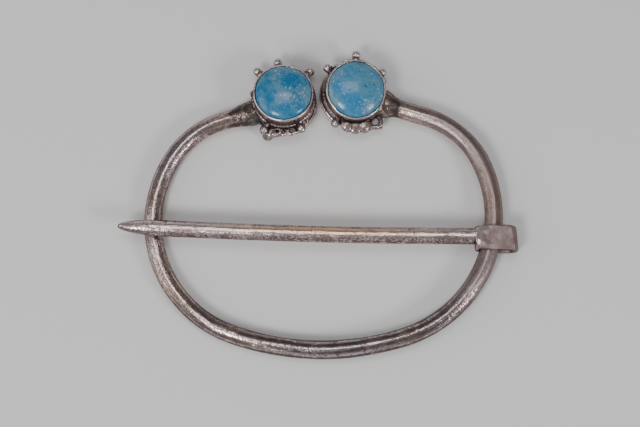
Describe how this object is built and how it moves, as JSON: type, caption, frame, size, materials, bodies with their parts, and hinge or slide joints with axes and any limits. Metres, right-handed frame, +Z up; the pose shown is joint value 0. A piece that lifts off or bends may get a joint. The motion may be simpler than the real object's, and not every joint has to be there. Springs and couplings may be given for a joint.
{
  "type": "penannular brooch",
  "caption": "Silver penannular brooch: an open oval hoop of round rod ending in round bezel settings with blue cabochons, and a loose swinging pin.",
  "frame": {"origin": "middle of the brooch's box, on the table it lies on", "axes": "+Z up off the table, +Y towards the hoop's opening and the stones, +X from the pin's point to its loop"},
  "size_m": [0.0668, 0.0522, 0.0077],
  "materials": {
    "silver": "worn and tarnished silver, warm grey, with soft highlights along the rod",
    "turquoise": "polished mottled blue stone with small dark pits"
  },
  "bodies": {
    "hoop": {"hoop": "silver", "left_setting": "silver", "right_setting": "silver", "left_cabochon": "turquoise", "right_cabochon": "turquoise"},
    "pin": {"pin": "silver"}
  },
  "joints": [
    {"name": "pin_swing", "type": "hinge", "parent": "hoop", "child": "pin", "pos_m": [0.02903, -0.006, 0.00254], "axis": [0.189, 0.982, 0.0033], "range_deg": [0, 165]}
  ]
}
